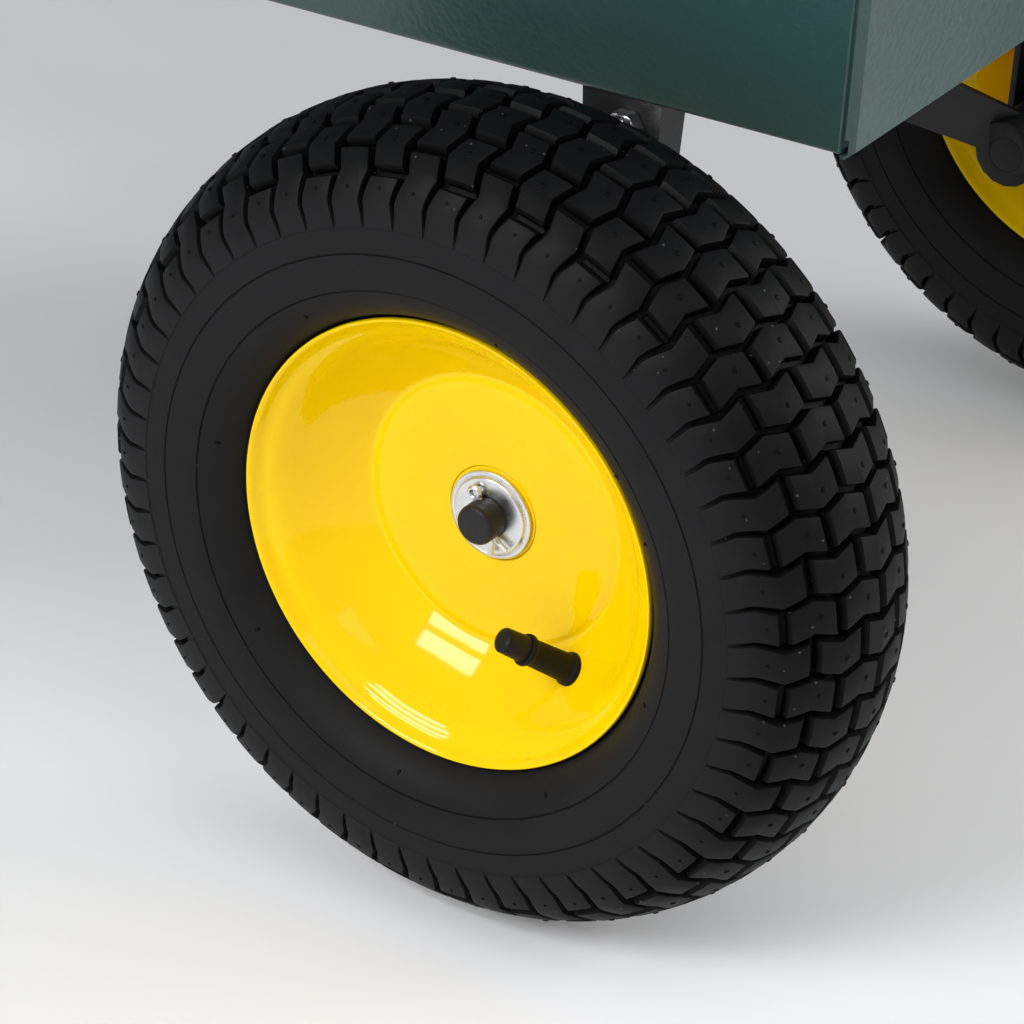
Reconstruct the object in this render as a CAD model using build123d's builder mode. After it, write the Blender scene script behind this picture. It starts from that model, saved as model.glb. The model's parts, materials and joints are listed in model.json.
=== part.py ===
"""Two-wheeled garden dump cart: a flared sheet-steel tray that tips about its own axle.

Millimetres, +Z up, the ground at z = 0. +X is the rear, where the tray dumps, -X is the hitch.
The origin lies on the ground under the middle of the cart.
"""

import os
from math import asin, atan2, cos, degrees, hypot, pi, radians, sin, tan

from build123d import *

os.makedirs("parts", exist_ok=True)

# Wheels: 13 x 5.00-6 turf tyres on pressed rims
tyre_radius = 165.1
tyre_half_width = 57.5
bulge_drop = 49.0
bead_drop = 64.0
tread_pitches = 31
tread_depth = 6.0
tread_groove = 4.4
track = 512.0
rim_flange_radius = 90.0
rim_seat_radius = 76.2
rim_half_width = 38.0
rim_sheet = 2.5
disc_radius = 54.0
disc_offset = 5.5
ring_facets = 16
hub_radius = 19.0
hub_end = 6.0
hub_length = 67.5
valve_radius = 4.6
valve_length = 33.0
valve_angle = -53.0
valve_tilt = 46.0

# Axle and what sits on it
axle_radius = 8.0
axle_overhang = 18.5
running_gap = 0.1
fit_gap = 0.05
washer_radius = 18.0
washer_thickness = 2.2
cotter_radius = 1.9
cotter_angle = -64.0
cotter_eye = 3.2
cotter_leg = 6.0
boss_radius = 15.0
side_gap = 0.3

# Tray: sheet-steel pan with two bolted end panels
sheet = 2.0
floor_height = 308.0
floor_half_width = 188.0
floor_rear = 104.0
floor_front = 676.0
tray_depth = 280.0
side_slope = 0.35
rear_slope = 0.26
front_slope = 0.35
fold_radius = 5.0
rim_width = 16.0
rim_lip = 11.0
corner_slit = 1.2
flange_depth = 26.0
panel_bolt_radius = 4.0
panel_fold = 3.0
panel_gap = 0.2
bolt_heights = (0.38, 0.82)

# Legs that carry the tray on the axle
leg_outer = 184.0
leg_depth = 17.5
leg_sheet = 3.0
leg_top_front = 12.5
leg_top_rear = 23.0
leg_eye_radius = 20.0
leg_taper = 42.0
bolster_width = 22.0
bolster_height = 24.0
bolster_sheet = 3.0
leg_bolt_radius = 4.0
leg_bolt_drop = 12.0

# Tongue, hitch and parking stand
tongue_size = 50.0
tongue_wall = 3.0
tongue_drop = 83.0
tongue_setback = 45.0
hitch_throat = 45.0
stay_plate = 8.0
stay_boss = 36.0
stay_forward = 92.0
hitch_bore_radius = 8.25
hitch_reach = 1105.0
hitch_plate = 6.0
hitch_tail = 105.0
cap_plate = 3.0
stand_setback = 225.0
stand_drop = 25.0
stand_tube = 30.0
stand_rake = 8.0
stand_foot_width = 120.0
stand_foot_length = 36.0
stand_bolt_radius = 5.0
foot_plate = 4.0

# Tray rest and swing-over latch
rest_setback = 136.0
rest_width = 130.0
rest_length = 50.0
rest_sheet = 4.0
pad_height = 5.0
pad_size = 28.0
latch_lead = 99.0
latch_lift = 4.0
latch_pin_radius = 5.0
latch_plate = 8.0
striker_lead = 46.0
striker_drop = 11.0
striker_ear_gap = 30.0

# Places worked out from the sizes above
rear_reach = floor_rear + rear_slope * tray_depth + rim_width + sheet
front_reach = hitch_reach + tongue_size / 2
axle_x = (front_reach - rear_reach) / 2
axle_z = tyre_radius
wheel_y = track / 2
rim_top = floor_height + tray_depth
leg_centre = (leg_top_rear - leg_top_front) / 2
tongue_bottom = floor_height - tongue_drop
tongue_top = tongue_bottom + tongue_size
tongue_front = hitch_reach - hitch_throat
stand_x = hitch_reach - stand_setback
rest_x = floor_front - rest_setback
latch_x = floor_front + latch_lead
latch_z = floor_height + latch_lift
striker_x = floor_front + striker_lead
striker_z = floor_height - striker_drop
stay_outer = leg_outer - leg_depth - side_gap
stay_inner = stay_outer - stay_boss
hub_inner = hub_end - hub_length
turn_axis = Axis((axle_x, 0, 0), (0, 0, 1))
wheel_plane = Plane(origin=(axle_x, -wheel_y, axle_z), x_dir=(0, -1, 0), z_dir=(-1, 0, 0))


def save(builder, name):
    """Label a finished piece and write it under its own name."""
    builder.part.label = name
    export_step(builder.part, f"parts/{name}.step")


def save_pair(builder, name):
    """Write the left piece, and the right one as the left one turned half way round."""
    save(builder, f"{name}_left")
    with BuildPart() as right:
        add(builder.part.rotate(turn_axis, 180))
    save(right, f"{name}_right")


def save_group(builder, name):
    """Write the left piece and its turned twin together in one node."""
    with BuildPart() as both:
        add(builder.part)
        add(builder.part.rotate(turn_axis, 180))
    save(both, name)


def side_plane(x, z, y=0.0, turn=0.0):
    """A plane along the cart, normal -Y: local x is +X and local y is up, unless turned."""
    along = (cos(radians(turn)), 0, sin(radians(turn)))
    return Plane(origin=(axle_x + x, y, z), x_dir=along, z_dir=(0, -1, 0))


def ring_on_axle(y_from, y_to, outer, inner):
    """Add a sleeve round the axle line, faceted outside and round inside."""
    with BuildSketch(side_plane(0, axle_z, y_to)) as ring:
        RegularPolygon(outer, ring_facets)
        Circle(inner, mode=Mode.SUBTRACT)
    extrude(ring.sketch, amount=y_to - y_from)


def carriage_bolt(plane, radius, grip):
    """Add a square-neck bolt and its hex nut: the plane is the head's seat, facing the head."""
    with BuildSketch(plane) as head:
        RegularPolygon(2 * radius, 8)
    extrude(head.sketch, amount=0.8 * radius)
    with BuildSketch(plane) as neck:
        Rectangle(2 * radius, 2 * radius)
    extrude(neck.sketch, amount=-grip)
    with BuildSketch(plane.offset(-grip)) as nut:
        RegularPolygon(1.65 * radius, 6, major_radius=False)
    extrude(nut.sketch, amount=-1.6 * radius)


def square_hole(plane, radius, depth):
    """Cut the square hole that a carriage bolt's neck sits in, on both sides of the plane."""
    with BuildSketch(plane) as hole:
        Rectangle(2 * (radius + fit_gap), 2 * (radius + fit_gap))
    extrude(hole.sketch, amount=depth, both=True, mode=Mode.SUBTRACT)


def pivot_bolt(plane, radius, grip, bearing):
    """Add a bolt that is square in the two ears it joins and round between them, with its nut."""
    carriage_bolt(plane, radius, grip)
    with BuildSketch(plane.offset(-(grip - bearing) / 2)) as round_part:
        Rectangle(3 * radius, 3 * radius)
        Circle(radius, mode=Mode.SUBTRACT)
    extrude(round_part.sketch, amount=-bearing, mode=Mode.SUBTRACT)


# Tyre: a ring of flat facets, one to each tread pitch, with two staggered rows of dog-leg blocks
base_radius = tyre_radius - tread_depth
bead_half = rim_half_width - rim_sheet - side_gap
carcass_half = (
    (bead_half, rim_seat_radius + side_gap),
    (bead_half, rim_flange_radius + 1),
    (tyre_half_width - 4, tyre_radius - bead_drop),
    (tyre_half_width, tyre_radius - bulge_drop),
    (tyre_half_width - 5, tyre_radius - 32),
    (26.0, base_radius - 4),
)
tread_pitch = 2 * pi * tyre_radius / tread_pitches
block_half = (tread_pitch - tread_groove) / 2
block_top = tyre_radius * cos(block_half / tyre_radius)
crown_roof = (
    (-8.0, block_top),
    (12.0, block_top),
    (tyre_half_width - 14, tyre_radius - 13),
    (tyre_half_width - 3, tyre_radius - 34),
    (24.0, base_radius - 12),
    (-8.0, base_radius - 8),
)
shoulder_half = block_half - 3.5
block_shift = tread_pitch / 4
block_outline = (
    (-4.5, 0.0),
    (13.0, -block_half),
    (tyre_half_width, block_shift - shoulder_half),
    (tyre_half_width, block_shift + shoulder_half),
    (13.0, block_half),
)
wheel_line = Axis(wheel_plane.origin, (0, 1, 0))
pitch_angle = 360 / tread_pitches


def tread_block(side):
    """One block at the top of the wheel: the crown's cross-section cut to the dog-leg outline."""
    with BuildPart() as block:
        with BuildSketch(wheel_plane):
            Polygon(*[(side * w, r) for w, r in crown_roof], align=None)
        extrude(amount=tread_pitch, both=True)
        with BuildSketch(Plane(wheel_plane.origin, x_dir=wheel_plane.x_dir, z_dir=(0, 0, 1))):
            Polygon(*[(side * w, side * s) for w, s in block_outline], align=None)
        extrude(amount=2 * tyre_radius, mode=Mode.INTERSECT)
    return block.part


def flat_ring(profile):
    """A ring round the wheel's axle, one flat facet to a tread pitch: cut along two radii, then repeated."""
    with BuildPart() as facet:
        with BuildSketch(wheel_plane):
            Polygon(*profile, align=None)
        extrude(amount=tread_pitch, both=True)
        for side in (-1, 1):
            half = pi / tread_pitches
            split(
                bisect_by=Plane(wheel_plane.origin, z_dir=(side * cos(half), 0, -sin(half))),
                keep=Keep.BOTTOM,
            )
    return [facet.part.rotate(wheel_line, step * pitch_angle) for step in range(tread_pitches)]


carcass = flat_ring(carcass_half + tuple((-w, r) for w, r in reversed(carcass_half)))
outer_block = tread_block(1)
inner_block = tread_block(-1)
outer_row = [outer_block.rotate(wheel_line, step * pitch_angle) for step in range(tread_pitches)]
inner_row = [inner_block.rotate(wheel_line, (step + 0.5) * pitch_angle) for step in range(tread_pitches)]
with BuildPart() as tyre:
    add(carcass)
    add(outer_row + inner_row)
save_pair(tyre, "tyre")

# Rim: a rolled barrel with two flanges, a dished disc set in it and a hub tube through the disc
dish_rise = 0.7
seat_inside = rim_seat_radius - rim_sheet
dish_reach = disc_offset + (seat_inside - disc_radius) * dish_rise
valve_seat_radius = (disc_radius + seat_inside) / 2
valve_seat_w = disc_offset + (valve_seat_radius - disc_radius) * dish_rise
valve_spoke = Vector(cos(radians(valve_angle)), 0, sin(radians(valve_angle)))
outboard = Vector(0, -1, 0)
valve_plane = Plane(
    origin=wheel_plane.origin + outboard * valve_seat_w + valve_spoke * valve_seat_radius,
    z_dir=outboard * cos(radians(valve_tilt)) - valve_spoke * sin(radians(valve_tilt)),
)
barrel_profile = (
    (rim_half_width, rim_flange_radius),
    (rim_half_width, seat_inside),
    (-rim_half_width, seat_inside),
    (-rim_half_width, rim_flange_radius),
    (rim_sheet - rim_half_width, rim_seat_radius),
    (rim_half_width - rim_sheet, rim_seat_radius),
)
with BuildPart() as rim:
    add(flat_ring(barrel_profile))
save_pair(rim, "rim")

disc_edge = seat_inside - fit_gap
disc_bore = hub_radius + fit_gap
disc_profile = (
    (dish_reach, disc_edge),
    (disc_offset, disc_radius),
    (disc_offset, disc_bore),
    (disc_offset - rim_sheet, disc_bore),
    (disc_offset - rim_sheet, disc_radius + 1),
    (dish_reach - 1.3 * rim_sheet, disc_edge),
)
with BuildPart() as wheel_disc:
    add(flat_ring(disc_profile))
    with BuildSketch(valve_plane):
        RegularPolygon(valve_radius, 12)
    extrude(amount=3 * rim_sheet, both=True, mode=Mode.SUBTRACT)
save_pair(wheel_disc, "wheel_disc")

with BuildPart() as wheel_hub:
    ring_on_axle(-wheel_y - hub_end, -wheel_y - hub_inner, hub_radius, axle_radius + running_gap)
save_pair(wheel_hub, "wheel_hub")

# Snap-in rubber valve: a waisted grommet in the disc, a straight stem with a collar, and a screw cap
cap_length = 12.0
stem_length = valve_length - cap_length
with BuildPart() as valve_stem:
    with BuildSketch(valve_plane.offset(-2 * rim_sheet)):
        RegularPolygon(valve_radius - fit_gap, 12)
    extrude(amount=3 * rim_sheet)
    with BuildSketch(valve_plane.offset(rim_sheet)):
        RegularPolygon(valve_radius + 2.5, 12)
    extrude(amount=rim_sheet)
    with BuildSketch(valve_plane.offset(2 * rim_sheet)):
        RegularPolygon(valve_radius + 0.3, 12)
    extrude(amount=stem_length - 2 * rim_sheet)
    with BuildSketch(valve_plane.offset(stem_length - 0.7 * rim_sheet)):
        RegularPolygon(valve_radius + 1.2, 12)
    extrude(amount=0.7 * rim_sheet)
save_pair(valve_stem, "valve_stem")

with BuildPart() as valve_cap:
    with BuildSketch(valve_plane.offset(stem_length)):
        RegularPolygon(valve_radius, 12)
    extrude(amount=cap_length)
save_pair(valve_cap, "valve_cap")

# Stub axles: one rod to each wheel, cross-drilled near its outer end for the split pin
axle_half = wheel_y + axle_overhang
washer_y = wheel_y + hub_end + side_gap
cotter_y = washer_y + washer_thickness + side_gap + cotter_radius
cotter_dir = Vector(cos(radians(cotter_angle)), 0, sin(radians(cotter_angle)))
with BuildPart() as stub_axle:
    with BuildSketch(side_plane(0, axle_z, -stay_inner)):
        Circle(axle_radius)
    extrude(amount=axle_half - stay_inner)
    square_hole(Plane((axle_x, -cotter_y, axle_z), z_dir=cotter_dir), cotter_radius, 2 * axle_radius)
save_group(stub_axle, "stub_axles")

with BuildPart() as axle_washer:
    ring_on_axle(-washer_y - washer_thickness, -washer_y, washer_radius, axle_radius + running_gap)
save_group(axle_washer, "axle_washers")

# Split pin: eye on one side of the rod, shank through it, two legs bent apart on the other
with BuildPart() as cotter_pin:
    with BuildSketch(side_plane(0, axle_z, -cotter_y, cotter_angle)):
        reach = axle_radius + 0.8 * cotter_radius
        width = 1.2 * cotter_radius
        Rectangle(2 * reach, width)
        with Locations((-reach - 0.55 * cotter_eye, 0)):
            RegularPolygon(cotter_eye, 8)
            RegularPolygon(0.45 * cotter_eye, 8, mode=Mode.SUBTRACT)
        for turn in (-1, 1):
            with Locations(Location((reach - width / 2, turn * width / 4), turn * 24)):
                Rectangle(cotter_leg, width / 2, align=(Align.MIN, Align.CENTER))
    extrude(amount=width / 4, both=True)
save_group(cotter_pin, "cotter_pins")

# Tray pan: floor and both sides folded from one sheet, with a turned-out rim
half_top = floor_half_width + side_slope * tray_depth
side_thickness = sheet * hypot(1, side_slope)
pan_half = (
    (floor_half_width, floor_height),
    (half_top, rim_top),
    (half_top + rim_width, rim_top),
    (half_top + rim_width, rim_top - rim_lip),
)


def end_face(direction, reach, slope, inset=0.0):
    """The leaning outer face of one end of the tray, or a plane set inside it."""
    normal = Vector(direction, 0, -slope).normalized()
    foot = Vector(axle_x + direction * reach, 0, floor_height)
    return Plane(origin=foot - normal * inset, z_dir=normal)


def side_half(z):
    """Half the width between the inner faces of the two sides at one height."""
    return floor_half_width + side_slope * (z - floor_height) - side_thickness


ends = {
    "rear_panel": (1, floor_rear, rear_slope),
    "front_panel": (-1, floor_front, front_slope),
}
bolt_planes = []
for direction, reach, slope in ends.values():
    for share in bolt_heights:
        z = floor_height + share * tray_depth
        x = axle_x + direction * (reach + slope * (z - floor_height) - flange_depth / 2 - sheet)
        for side in (-1, 1):
            y = side * (side_half(z) + side_thickness)
            bolt_planes.append(Plane((x, y, z), z_dir=(0, side, -side_slope)))

with BuildPart() as tray_pan:
    with BuildSketch(Plane.YZ):
        with BuildLine():
            FilletPolyline(*[(-y, z) for y, z in reversed(pan_half)], *pan_half, radius=fold_radius)
            offset(amount=sheet, side=Side.LEFT)
        make_face()
    extrude(amount=floor_front + floor_rear + tray_depth, both=True)
    for direction, reach, slope in ends.values():
        split(bisect_by=end_face(direction, reach, slope, panel_fold + corner_slit), keep=Keep.BOTTOM)
    for plane in bolt_planes:
        square_hole(plane, panel_bolt_radius, 3 * sheet)
save(tray_pan, "tray_pan")


def end_block(end, inset_x, inset_y, z_from, z_to):
    """A leaning block between the sides, set in from the end's outer face and from the sides."""
    direction, reach, slope = end
    outline = []
    for z, depth in ((z_from, 0), (z_to, 0), (z_to, flange_depth), (z_from, flange_depth)):
        outline.append((direction * (reach + slope * (z - floor_height) - inset_x - depth), z))
    with BuildPart() as block:
        with BuildSketch(side_plane(0, 0)):
            Polygon(*outline, align=None)
        extrude(amount=2 * half_top, both=True)
        for side in (-1, 1):
            edge = (0, side * (side_half(floor_height) - inset_y), floor_height)
            split(bisect_by=Plane(edge, z_dir=(0, side, -side_slope)), keep=Keep.BOTTOM)
    return block.part


def end_panel(direction, reach, slope):
    """An end sheet with side flanges inside the pan, a flange under the floor and a turned-out rim."""
    lean = sheet * hypot(1, slope)
    under_floor = floor_height - panel_gap
    over_fold = floor_height + sheet + fold_radius
    top_x = axle_x + direction * (reach + slope * tray_depth)
    end = (direction, reach, slope)
    block = end_block(end, 0, panel_gap, under_floor - sheet, rim_top)
    hollow = end_block(end, lean, panel_gap + side_thickness, under_floor, rim_top)
    floor_slot = end_block(end, lean, -fold_radius, under_floor, over_fold)
    with BuildPart() as panel:
        add(block)
        outer = panel.faces().sort_by(lambda f: direction * f.normal_at().X)[-1]
        chamfer(outer.edges().filter_by(lambda e: e.center().Z < rim_top - 1), panel_fold)
        add(hollow, mode=Mode.SUBTRACT)
        add(floor_slot, mode=Mode.SUBTRACT)
        half_rim = half_top + rim_width + sheet
        with BuildSketch(Plane.XY.offset(rim_top)):
            with Locations((top_x + direction * (rim_width + sheet - lean) / 2, 0)):
                Rectangle(rim_width + sheet + lean, 2 * half_rim)
        extrude(amount=sheet)
        with BuildSketch(Plane.XY.offset(rim_top)):
            with Locations((top_x + direction * (rim_width + sheet / 2), 0)):
                Rectangle(sheet, 2 * half_rim)
        extrude(amount=-rim_lip)
        for plane in bolt_planes:
            square_hole(plane, panel_bolt_radius, 3 * sheet)
    return panel


for name, (direction, reach, slope) in ends.items():
    save(end_panel(direction, reach, slope), name)

with BuildPart() as panel_bolts:
    for plane in bolt_planes:
        carriage_bolt(plane, panel_bolt_radius, 2 * sheet + panel_gap)
save(panel_bolts, "panel_bolts")

# Bolster: a channel under the floor that ties the two legs together
leg_boss_end = wheel_y + hub_inner - side_gap
bolster_half = leg_outer - leg_sheet - fit_gap
bolster_top = floor_height - fit_gap
leg_bolt_z = floor_height - leg_bolt_drop
leg_bolt_planes = [
    Plane((axle_x + leg_centre, side * (bolster_half - bolster_sheet), leg_bolt_z), z_dir=(0, -side, 0))
    for side in (-1, 1)
]
leg_grip = bolster_sheet + fit_gap + leg_sheet
with BuildPart() as bolster:
    with BuildSketch(Plane.XZ.offset(-bolster_half)):
        with Locations((axle_x + leg_centre, bolster_top)):
            Rectangle(bolster_width, bolster_height, align=(Align.CENTER, Align.MAX))
    extrude(amount=2 * bolster_half)
    with BuildSketch(Plane.XZ.offset(-bolster_half + bolster_sheet)):
        with Locations((axle_x + leg_centre, bolster_top - bolster_sheet)):
            Rectangle(bolster_width - 2 * bolster_sheet, bolster_height, align=(Align.CENTER, Align.MAX))
    extrude(amount=2 * (bolster_half - bolster_sheet), mode=Mode.SUBTRACT)
    for plane in leg_bolt_planes:
        square_hole(plane, leg_bolt_radius, 2 * bolster_sheet)
save(bolster, "bolster")

# Pressed leg: a shallow channel from the bolster down to a boss that turns on the axle
outer_side = side_plane(0, axle_z, -leg_outer)
leg_rise = bolster_top - axle_z
leg_outline = (
    (-leg_top_front, leg_rise),
    (leg_top_rear, leg_rise),
    (leg_top_rear - 5, leg_rise - leg_taper),
    (leg_eye_radius, 0),
    (leg_eye_radius / 2, -leg_eye_radius),
    (-leg_eye_radius / 2, -leg_eye_radius),
    (-leg_eye_radius, 0),
    (-leg_top_front, leg_rise - leg_taper),
)
with BuildPart() as leg:
    with BuildSketch(outer_side):
        Polygon(*leg_outline, align=None)
    extrude(amount=-leg_depth)
    with BuildSketch(outer_side.offset(-leg_sheet)):
        Polygon(*leg_outline, align=None)
        offset(amount=-leg_sheet, kind=Kind.INTERSECTION)
        with Locations((leg_centre, leg_rise)):
            Rectangle(leg_top_front + leg_top_rear - 2 * leg_sheet, 3 * leg_sheet)
    extrude(amount=-leg_depth, mode=Mode.SUBTRACT)
    with BuildSketch(outer_side.offset(leg_boss_end - leg_outer)):
        RegularPolygon(boss_radius, ring_facets)
    extrude(amount=leg_outer - leg_depth - leg_boss_end)
    with BuildSketch(outer_side):
        Circle(axle_radius + running_gap)
    extrude(amount=4 * leg_depth, both=True, mode=Mode.SUBTRACT)
    square_hole(leg_bolt_planes[0], leg_bolt_radius, 4 * leg_sheet)
with BuildPart() as tray_legs:
    add(leg.part)
    add(mirror(leg.part, about=Plane.XZ, mode=Mode.PRIVATE))
save(tray_legs, "tray_legs")

with BuildPart() as leg_bolts:
    for plane in leg_bolt_planes:
        carriage_bolt(plane, leg_bolt_radius, leg_grip)
save(leg_bolts, "leg_bolts")

# Stays: a boss that holds each stub axle, and a plate that slants from it to the tongue's side
tongue_side = tongue_size / 2 + fit_gap
boss_middle = (stay_outer + stay_inner) / 2
stay_way = Vector(-stay_forward, boss_middle - tongue_side, 0)
stay_plane = Plane((axle_x, -boss_middle, axle_z), x_dir=stay_way, z_dir=(stay_way.Y, -stay_way.X, 0))
stay_rise = tongue_bottom + tongue_size / 2 - axle_z
with BuildPart() as stay:
    ring_on_axle(-stay_outer, -stay_inner, boss_radius, axle_radius + fit_gap)
    with BuildSketch(stay_plane):
        Polygon(
            (0, -0.7 * boss_radius),
            (1.2 * stay_way.length, 1.2 * stay_rise - 0.4 * tongue_size),
            (1.2 * stay_way.length, 1.2 * stay_rise + 0.4 * tongue_size),
            (0, 0.8 * boss_radius),
            align=None,
        )
    extrude(amount=stay_plate / 2, both=True)
    split(bisect_by=Plane((0, -tongue_side, 0), z_dir=(0, 1, 0)), keep=Keep.BOTTOM)
    with BuildSketch(side_plane(0, axle_z)):
        Circle(axle_radius + fit_gap)
    extrude(amount=stay_outer, mode=Mode.SUBTRACT)
with BuildPart() as axle_stays:
    add(stay.part)
    add(mirror(stay.part, about=Plane.XZ, mode=Mode.PRIVATE))
save(axle_stays, "axle_stays")

# Tongue: one square tube from the stays to the hitch
with BuildPart() as tongue:
    with BuildSketch(Plane.YZ.offset(axle_x - tongue_front)):
        with Locations((0, tongue_bottom + tongue_size / 2)):
            RectangleRounded(tongue_size, tongue_size, tongue_wall + 1)
            bore = tongue_size - 2 * tongue_wall
            Rectangle(bore, bore, mode=Mode.SUBTRACT)
    extrude(amount=tongue_front - tongue_setback)
save(tongue, "tongue")

with BuildPart() as tongue_caps:
    for x, way in ((axle_x - tongue_setback, 1), (axle_x - tongue_front, -1)):
        with BuildSketch(Plane((x, 0, tongue_bottom + tongue_size / 2), x_dir=(0, 1, 0), z_dir=(way, 0, 0))):
            Rectangle(tongue_size - 2, tongue_size - 2)
        extrude(amount=cap_plate)
        with BuildSketch(Plane((x, 0, tongue_bottom + tongue_size / 2), x_dir=(0, 1, 0), z_dir=(-way, 0, 0))):
            Rectangle(bore - 2 * fit_gap, bore - 2 * fit_gap)
        extrude(amount=4 * cap_plate)
save(tongue_caps, "tongue_caps")

# Hitch: a plate above and a plate below the tongue, drilled for a drop pin
with BuildPart() as hitch_plates:
    for z in (tongue_bottom - hitch_plate, tongue_top):
        with BuildSketch(Plane((axle_x - hitch_reach, 0, z))) as outline:
            with Locations((-tongue_size / 2, 0)):
                Rectangle(hitch_tail + tongue_size / 2, tongue_size, align=(Align.MIN, Align.CENTER))
            chamfer(outline.vertices().group_by(Axis.X)[0], tongue_size / 3)
            Circle(hitch_bore_radius, mode=Mode.SUBTRACT)
        extrude(amount=hitch_plate)
save(hitch_plates, "hitch_plates")

# Parking stand: a raked square leg that folds back under the tongue
stand_z = tongue_bottom - stand_drop
ear_inner = stand_tube / 2 + side_gap
ear_plate = 5.0
stand_plane = Plane(
    origin=(axle_x - stand_x, 0, stand_z),
    x_dir=(cos(radians(stand_rake)), 0, -sin(radians(stand_rake))),
    z_dir=(-sin(radians(stand_rake)), 0, -cos(radians(stand_rake))),
)
with BuildPart() as stand_bracket:
    with BuildSketch(Plane((axle_x - stand_x, 0, tongue_bottom))):
        Rectangle(2 * stand_tube, 2 * (ear_inner + ear_plate))
    extrude(amount=-ear_plate)
    for side in (-1, 1):
        with BuildSketch(side_plane(-stand_x, stand_z, side * ear_inner)):
            Polygon(
                (-stand_tube, stand_drop - ear_plate),
                (stand_tube / 2, stand_drop - ear_plate),
                (stand_tube / 2, -stand_tube / 3),
                (-stand_tube / 3, -1.2 * stand_tube),
                (-stand_tube, -1.2 * stand_tube),
                align=None,
            )
        extrude(amount=-side * ear_plate)
    with BuildSketch(stand_plane.offset(0.4 * stand_tube)):
        with Locations((-stand_tube / 2 - side_gap, 0)):
            Rectangle(ear_plate, 2 * (ear_inner + ear_plate), align=(Align.MAX, Align.CENTER))
    extrude(amount=0.8 * stand_tube)
    square_hole(side_plane(-stand_x, stand_z), stand_bolt_radius, 2 * stand_tube)
save(stand_bracket, "stand_bracket")

with BuildPart() as stand_leg:
    with BuildSketch(stand_plane.offset(-stand_tube / 3)):
        Rectangle(stand_tube, stand_tube)
        Rectangle(stand_tube - 5, stand_tube - 5, mode=Mode.SUBTRACT)
    extrude(amount=stand_z + stand_tube)
    split(bisect_by=Plane.XY.offset(foot_plate), keep=Keep.TOP)
    with BuildSketch(side_plane(-stand_x, stand_z, stand_tube)):
        Circle(stand_bolt_radius + running_gap)
    extrude(amount=2 * stand_tube, mode=Mode.SUBTRACT)
save(stand_leg, "stand_leg")

foot_x = axle_x - stand_x - (stand_z - foot_plate) * tan(radians(stand_rake))
with BuildPart() as stand_foot:
    with BuildSketch(Plane((foot_x, 0, 0))) as foot_outline:
        Rectangle(stand_foot_length, stand_foot_width)
        chamfer(foot_outline.vertices(), stand_foot_length / 6)
    extrude(amount=foot_plate)
save(stand_foot, "stand_foot")

# Rest: a top-hat saddle on the tongue with two rubber pads under the tray floor
pad_top = floor_height - side_gap
saddle_top = pad_top - pad_height
with BuildPart() as rest_saddle:
    with BuildSketch(Plane((axle_x - rest_x, 0, saddle_top))):
        Rectangle(rest_length, rest_width)
    extrude(amount=-rest_sheet)
    with BuildSketch(Plane((axle_x - rest_x, 0, tongue_top))):
        for side in (-1, 1):
            with Locations((0, side * (tongue_size / 2 - tongue_wall - rest_sheet))):
                Rectangle(rest_length, rest_sheet)
    extrude(amount=saddle_top - tongue_top)
save(rest_saddle, "rest_saddle")

with BuildPart() as rest_pads:
    with BuildSketch(Plane((axle_x - rest_x, 0, saddle_top))):
        with Locations((0, -rest_width / 3), (0, rest_width / 3)):
            Rectangle(pad_size, pad_size)
    extrude(amount=pad_height)
save(rest_pads, "rest_pads")

# Striker under the front edge of the tray: two ears and a cross pin
flange_under = floor_height - panel_gap - sheet
with BuildPart() as striker:
    ear_x = panel_fold + 1 - floor_front
    base_length = flange_depth - panel_fold - 2
    with BuildSketch(Plane((axle_x + ear_x + base_length / 2, 0, flange_under))):
        Rectangle(base_length, striker_ear_gap + 4 * ear_plate)
    extrude(amount=-rest_sheet)
    for side in (-1, 1):
        with BuildSketch(side_plane(0, 0, side * striker_ear_gap / 2)):
            Polygon(
                (ear_x + 18, flange_under - rest_sheet),
                (ear_x, flange_under - rest_sheet),
                (-striker_x - 4, striker_z + 9),
                (-striker_x - 9, striker_z + 4),
                (-striker_x - 9, striker_z - 4),
                (-striker_x - 4, striker_z - 9),
                (ear_x + 18, striker_z - 9),
                align=None,
            )
        extrude(amount=-side * ear_plate)
    with BuildSketch(side_plane(-striker_x, striker_z, striker_ear_gap / 2)):
        Circle(latch_pin_radius)
    extrude(amount=striker_ear_gap)
save(striker, "striker")

# Swing-over latch: a hook that lies forward on the tongue and turns back over the striker pin
latch_inner = latch_plate / 2 + side_gap
hook_reach = hypot(latch_x - striker_x, latch_z - striker_z)
hook_tip = hook_reach + latch_pin_radius + 10
hook_half = 12.0
notch_half = latch_pin_radius + side_gap
latch_rise = latch_z - tongue_top - side_gap
hook_droop = degrees(asin(latch_rise / hypot(hook_tip, hook_half)) - atan2(hook_half, hook_tip))
with BuildPart() as latch_bracket:
    with BuildSketch(Plane((axle_x - latch_x, 0, tongue_top))):
        Rectangle(2 * stand_tube - 16, tongue_size - 2 * tongue_wall)
    extrude(amount=rest_sheet)
    for side in (-1, 1):
        with BuildSketch(side_plane(-latch_x, latch_z, side * latch_inner)):
            Polygon(
                (-hook_half, hook_half / 2),
                (-hook_half / 2, hook_half),
                (hook_half / 2, hook_half),
                (hook_half, hook_half / 2),
                (hook_half + 8, tongue_top - latch_z),
                (-hook_half, tongue_top - latch_z),
                align=None,
            )
        extrude(amount=-side * ear_plate)
    square_hole(side_plane(-latch_x, latch_z), latch_pin_radius, tongue_size)
save(latch_bracket, "latch_bracket")

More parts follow.
